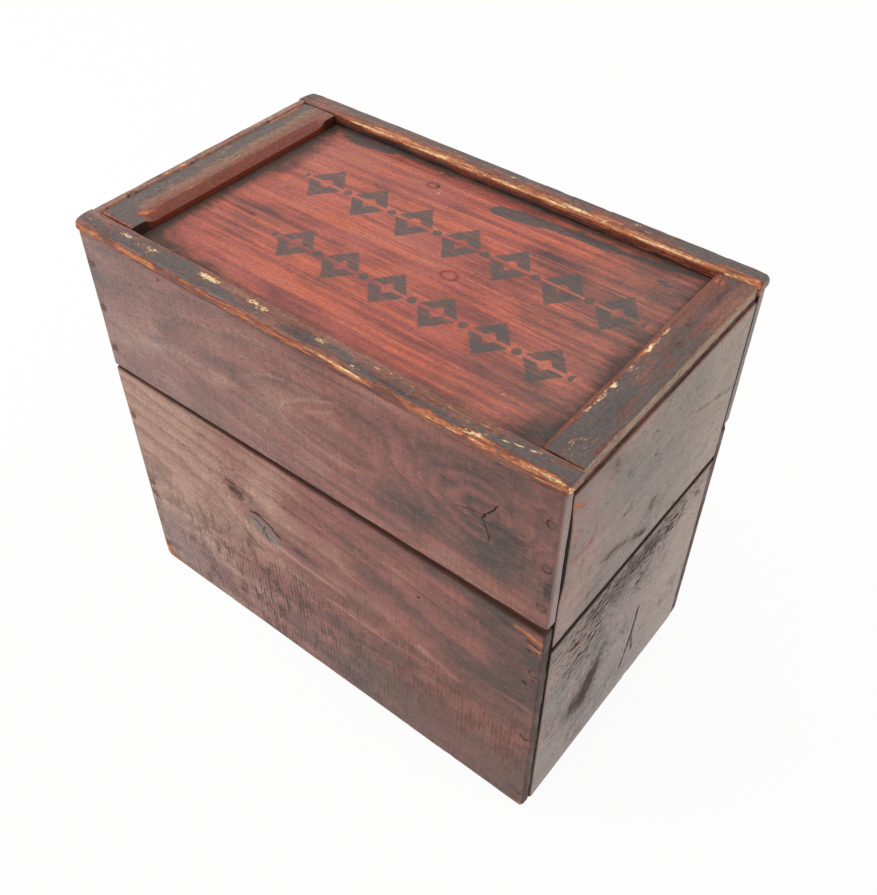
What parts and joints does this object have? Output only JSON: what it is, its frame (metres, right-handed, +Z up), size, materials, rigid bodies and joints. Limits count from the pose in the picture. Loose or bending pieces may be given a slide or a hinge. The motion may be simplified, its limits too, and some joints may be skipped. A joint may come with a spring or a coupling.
{
  "type": "sliding-lid wooden box",
  "caption": "Old stained pine goods box of nailed boards, with a batten-ended lid that slides out at one end, on runners inside the walls and under rails along their tops.",
  "frame": {"origin": "middle of the underside, at the level of the surface that the box stands on", "axes": "+X along the length towards the end where the lid slides out, -Y towards the front, +Z up"},
  "size_m": [0.305, 0.182, 0.273],
  "materials": {
    "stained_pine": "red-brown stained pine with a worn satin varnish",
    "dark_pine": "near-black stained pine with grimy varnish, rubbed to bare orange wood at the edges",
    "red_pine": "brick-red stained pine with lighter grain, satin varnish and dark grime round the border",
    "bare_pine": "bare aged pine, sawn and unvarnished",
    "nail_iron": "dull dark iron with a skin of rust and varnish"
  },
  "bodies": {
    "box": {"front_lower_board": "stained_pine", "front_upper_board": "stained_pine", "back_lower_board": "stained_pine", "back_upper_board": "stained_pine", "left_lower_board": "stained_pine", "left_upper_board": "stained_pine", "right_lower_board": "stained_pine", "right_upper_board": "stained_pine", "bottom_board": "bare_pine", "front_rail": "dark_pine", "back_rail": "dark_pine", "front_runner": "bare_pine", "back_runner": "bare_pine", "front_left_nails": "nail_iron", "front_right_nails": "nail_iron", "back_left_nails": "nail_iron", "back_right_nails": "nail_iron", "bottom_nails": "nail_iron", "front_rail_nails": "nail_iron", "back_rail_nails": "nail_iron", "front_runner_nails": "nail_iron", "back_runner_nails": "nail_iron"},
    "lid": {"lid_panel": "red_pine", "left_batten": "dark_pine", "right_batten": "dark_pine", "left_batten_nails": "nail_iron", "right_batten_nails": "nail_iron"}
  },
  "joints": [
    {"name": "lid_slide", "type": "slide", "parent": "box", "child": "lid", "axis": [1, 0, 0], "range_m": [0, 0.27]}
  ]
}
